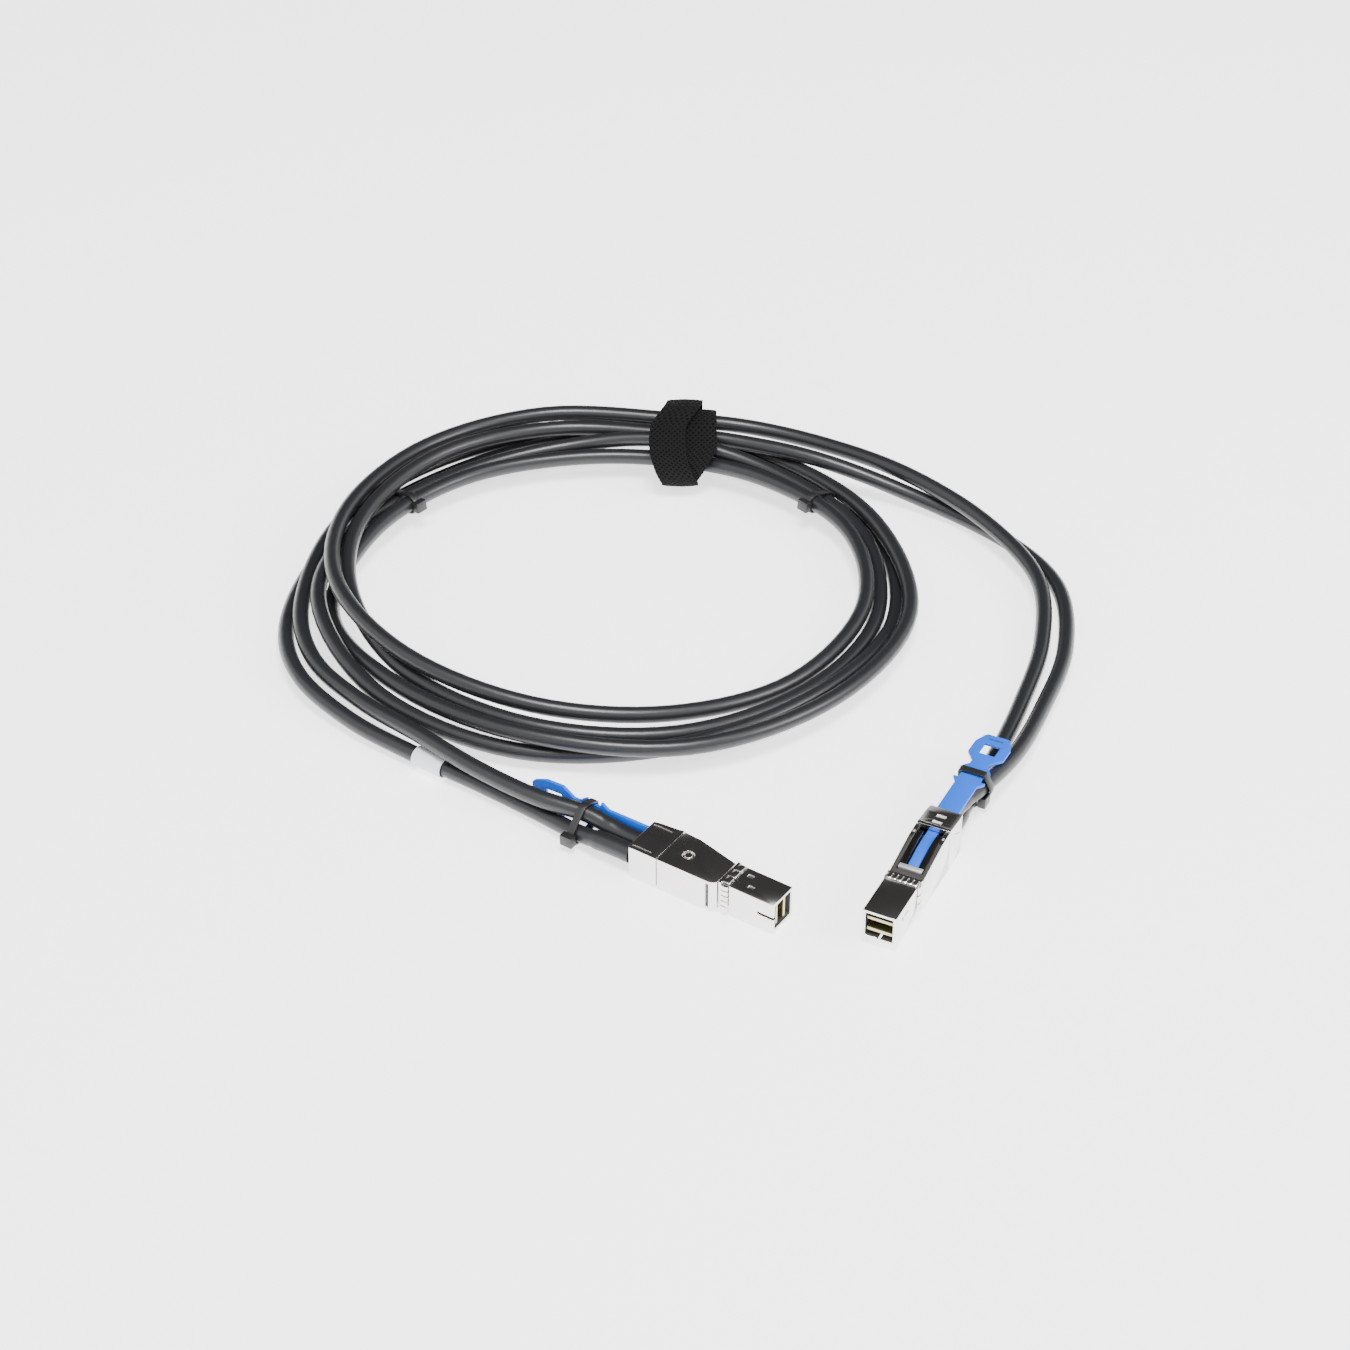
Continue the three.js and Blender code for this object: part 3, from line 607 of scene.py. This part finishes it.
# %% Dress the two plugs
TAB_MOVES = (
    ((-38.2, 1.65), (-41.2, 1.65)), ((-40.0, 3.5), (-42.8, 3.5)),
    ((-64.5, 3.5), (-65.2, 3.5)), ((-66.0, 4.8), (-67.0, 4.75)), ((-67.8, 4.8), (-67.85, 5.2)),
    ((-73.5, 3.5), (-72.8, 3.5)), ((-73.6, 4.5), (-72.9, 5.0)), ((-75.0, 4.5), (-74.6, 3.9)),
)
for side in ("a", "b"):
    plug = "plug_" + side
    rounded(plug + "_nose_shell", 0.00010, nickel, side=side,
            marks=((recess, NOSE_INSIDE),))
    rounded(plug + "_spring_collar", 0.00004, nickel)
    rounded(plug + "_front_housing", 0.00020, nickel, side=side,
            marks=((recess, HOUSING_INSIDE),))
    rounded(plug + "_rear_cover", 0.00022, nickel, side=side,
            marks=((recess, COVER_INSIDE), (painted_highlight, COVER_PAINTED_HIGHLIGHT)))
    rounded(plug + "_rivet", 0.00015, nickel)
    rounded(plug + "_latch_frame", 0.00012, dark_nickel, "latch_" + side,
            side=side, marks=((painted_highlight, LATCH_BAR),))
    rounded(plug + "_pull_tab", 0.00016, blue, "tab_" + side,
            side=side, moves=TAB_MOVES)
    rounded(plug + "_tie", 0.00018, tie_black)
    rounded(plug + "_card_upper", 0.00008, board, side=side,
            marks=((board_face, UPPER_FACES),))
    rounded(plug + "_card_lower", 0.00008, board, side=side,
            marks=((board_face, LOWER_FACES),))
    rounded(plug + "_card_holder", 0.00006, insulator)
rounded("tie_left", 0.00018, tie_black)
rounded("tie_right", 0.00018, tie_black)
rounded("label_sleeve", 0.00005, film)

# %% [markdown]
# Small raised and sunk details are separate pieces. Each starts as a cube at
# its size and place on the plug, and a modifier repeats it where there are several.

# %% Contact pads, and dark bars of painted shade in the side groove and at the handle's ridge


def plug_bar(name, side, centre, size, mat, body, tilt=0.0, count=1, pitch=0.0):
    """A small bar on a plug, tilted about the plug's y axis and repeated."""
    deselect()
    bpy.ops.mesh.primitive_cube_add(size=1)
    obj = bpy.context.active_object
    obj.name = name
    shape = Matrix.Rotation(tilt, 4, "Y") @ Matrix.Diagonal((*size, 1))
    obj.data.transform(shape)
    if count > 1:
        row = obj.modifiers.new("row", "ARRAY")
        row.count = count
        row.use_relative_offset = False
        row.use_constant_offset = True
        row.constant_offset_displace = (0, pitch, 0)
        bpy.ops.object.modifier_apply(modifier=row.name)
    obj.data.transform(plug_matrix(side) @ Matrix.Translation(Vector(centre)))
    obj.data.update()
    obj.data.materials.append(mat)
    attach(obj, body)


PAD_COUNT = 13
PAD_PITCH = 0.55
PAD_SIZE = (2.6, 0.32, 0.03)
CARD_HEIGHTS = {"upper": 2.0, "lower": -2.1}
PAD_LIFT = 0.515
GROOVE_TILT = math.radians(-29.6)
RIDGE_TILT = math.radians(-3.5)
for side in ("a", "b"):
    first_pad = -PAD_PITCH * (PAD_COUNT - 1) / 2
    for card, z in CARD_HEIGHTS.items():
        for face, offset in (("top", PAD_LIFT), ("bottom", -PAD_LIFT)):
            plug_bar(f"pads_{side}_{card}_{face}", side, (-2.6, first_pad, z + offset),
                     PAD_SIZE, gold, "cable_set",
                     count=PAD_COUNT, pitch=PAD_PITCH)
    # The side groove is a thin dark bar on the cover's side: painted shade in the groove.
    plug_bar(f"side_groove_painted_shade_{side}", side, (-45.5, 5.372, 3.15), (5.1, 0.03, 0.26),
             recess, "cable_set", tilt=GROOVE_TILT)
    # The handle's ridge is a thin darker blue bar: painted shade along the ridge.
    plug_bar(f"handle_ridge_painted_shade_{side}", side, (-90.2, 0, 4.50), (0.5, 4.6, 0.10),
             groove_shade_blue, "tab_" + side, tilt=RIDGE_TILT)
print("contact pads on each card face:", PAD_COUNT)

# %% [markdown]
# A strap that has been wound by hand is never square. Each turn starts as an
# open cylinder whose points are moved onto a rounded loop. The turn keeps its
# width but leans as it goes round: the front of the outer turn swings to the
# left, its top hoods over the inner turn, and the inner turn tucks in below.

# %% Knit map and winding of one turn
TAPE_AROUND = 160
TAPE_ACROSS = 22
CROWN = 0.0004


def map_knit(obj, reach, width):
    """Lays the knit along the tape, with a whole number of repeats."""
    if not obj.data.uv_layers:
        obj.data.uv_layers.new(name="tape")
    uv = obj.data.uv_layers[0]
    uv.name = "tape"
    around_length = math.pi * (reach[0] + reach[1])
    turns = round(around_length / KNIT_PITCH) * KNIT_PITCH
    for polygon in obj.data.polygons:
        corners = [obj.data.vertices[obj.data.loops[index].vertex_index].co
                   for index in polygon.loop_indices]
        angles = [math.atan2(co.y, co.x) / (2 * math.pi) for co in corners]
        wraps = max(angles) - min(angles) > 0.5
        for index, co, angle in zip(polygon.loop_indices, corners, angles):
            around = angle + 1 if wraps and angle < 0 else angle
            uv.data[index].uv = (around * turns, co.z * width)


def wind(obj, centre, reach, power, width, lean):
    """Moves the cylinder's points onto the leaning, rounded loop."""
    for vertex in obj.data.vertices:
        x, y, z = vertex.co
        c, si = x / math.hypot(x, y), y / math.hypot(x, y)
        crown = CROWN * (1 - (2 * z) ** 2)
        side = math.copysign(abs(c) ** (2 / power), c)
        height = math.copysign(abs(si) ** (2 / power), si)
        vertex.co = (
            lean(side, height) + z * width,
            centre[0] + (reach[0] - CROWN + crown) * side,
            centre[1] + (reach[1] - CROWN + crown) * height)


print("each turn has", TAPE_AROUND, "by", TAPE_ACROSS, "faces before it is thickened")

# %% [markdown]
# The tape gets its thickness from one modifier, its rounded edges from a
# second and the fuzz of its loops from a third, which pushes the surface in
# and out by a cloud texture. Each is applied, so the mesh itself has them.

# %% One turn of the tape
TAPE_THICK = 0.0011
TAPE_EDGE = 0.0003
TAPE_EDGE_TURN = math.radians(50)
PILE_HEIGHT = 0.0004


def tape_turn(name, centre, reach, power, width, lean):
    """One turn of the strap; lean gives its middle all round the loop."""
    deselect()
    bpy.ops.mesh.primitive_cylinder_add(
        vertices=TAPE_AROUND, radius=1, depth=1, end_fill_type="NOTHING")
    obj = bpy.context.active_object
    obj.name = name
    bpy.ops.object.mode_set(mode="EDIT")
    for k in range(1, TAPE_ACROSS):
        bpy.ops.mesh.select_all(action="SELECT")
        bpy.ops.mesh.bisect(plane_co=(0, 0, k / TAPE_ACROSS - 0.5), plane_no=(0, 0, 1))
    bpy.ops.object.mode_set(mode="OBJECT")
    map_knit(obj, reach, width)
    wind(obj, centre, reach, power, width, lean)
    thick = obj.modifiers.new("thickness", "SOLIDIFY")
    thick.thickness = TAPE_THICK
    thick.offset = -1
    thick.use_even_offset = True
    bpy.ops.object.modifier_apply(modifier=thick.name)
    bpy.ops.object.mode_set(mode="EDIT")
    bpy.ops.mesh.select_all(action="SELECT")
    bpy.ops.mesh.normals_make_consistent(inside=False)
    bpy.ops.object.mode_set(mode="OBJECT")
    edge = obj.modifiers.new("soft_edge", "BEVEL")
    edge.width = TAPE_EDGE
    edge.segments = 2
    edge.limit_method = "ANGLE"
    edge.angle_limit = TAPE_EDGE_TURN
    bpy.ops.object.modifier_apply(modifier=edge.name)
    pile = obj.modifiers.new("pile", "DISPLACE")
    pile.texture = fuzz
    pile.strength = PILE_HEIGHT
    pile.mid_level = 0.5
    bpy.ops.object.modifier_apply(modifier=pile.name)
    bpy.ops.object.shade_smooth()
    obj.data.materials.append(weave)
    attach(obj, "cable_set")
    print(name, "has", len(obj.data.polygons), "faces")
    return obj


fuzz = bpy.data.textures.new("loop_pile", "CLOUDS")
fuzz.noise_scale = 0.0006
print("fuzz scale:", fuzz.noise_scale)

# %% [markdown]
# The lean depends on how high a point of the loop stands in the picture and
# on whether it faces the camera. Where it does, the outer turn swings left,
# and near its top and bottom it comes back over the inner turn.

# %% Both turns of the strap
STRAP_Y = (122 + MOVE.y) * MM
UP_THE_PICTURE = (0.788, 0.529)
TO_THE_CAMERA = (-0.8, 0.6)
TOP_AT, BOTTOM_AT, FRONT_AT = 0.0015, -0.0003, -0.0049
INNER_AT, INNER_TUCK = 0.0066, 0.0070


def seen(side, height):
    """How high a point of the loop stands in the picture, from -1 to 1."""
    return max(-1.0, min(1.0, UP_THE_PICTURE[0] * side + UP_THE_PICTURE[1] * height))


def outer_lean(side, height):
    """The outer turn swings left where it faces the camera."""
    toward = TO_THE_CAMERA[0] * side + TO_THE_CAMERA[1] * height
    facing = max(0.0, min(1.0, (toward + 0.5) / 1.2))
    t = seen(side, height)
    ends = TOP_AT if t > 0 else BOTTOM_AT
    middle = ends + (FRONT_AT - ends) * (1 - abs(t) ** 2.2)
    return ends + (middle - ends) * facing


def inner_lean(side, height):
    """The inner turn tucks to the left as it goes under."""
    return INNER_AT - INNER_TUCK * max(0.0, -seen(side, height)) ** 1.3


strap = tape_turn("strap_outer_turn", centre=(STRAP_Y, 0.0107), reach=(0.0212, 0.0107),
                  power=2.4, width=0.0126, lean=outer_lean)
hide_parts("hook_and_loop_strap")
tape_turn("strap_inner_turn", centre=(STRAP_Y - 0.0015, 0.0101), reach=(0.0182, 0.0087),
          power=2.5, width=0.0120, lean=inner_lean)

# %% [markdown]
# The latch frame turns on two short pins that end flush with the housing's
# top. They stay with the housing when the latch tips, so they ride with the
# cable set and not with the latch.

# %% Pins of the latch, in the painted highlight nickel
PIN_ASIDE = 4.62
PIN_SIZE = (0.9, 0.62, 0.10)
for side in ("a", "b"):
    for name, y in (("left", -PIN_ASIDE), ("right", PIN_ASIDE)):
        # The pins get the lighter, matt nickel: a painted highlight.
        plug_bar(f"latch_pin_{side}_{name}", side, (-36.1, y, 7.6), PIN_SIZE,
                 painted_highlight, "cable_set")

# %% Update the scene
bpy.context.view_layer.update()
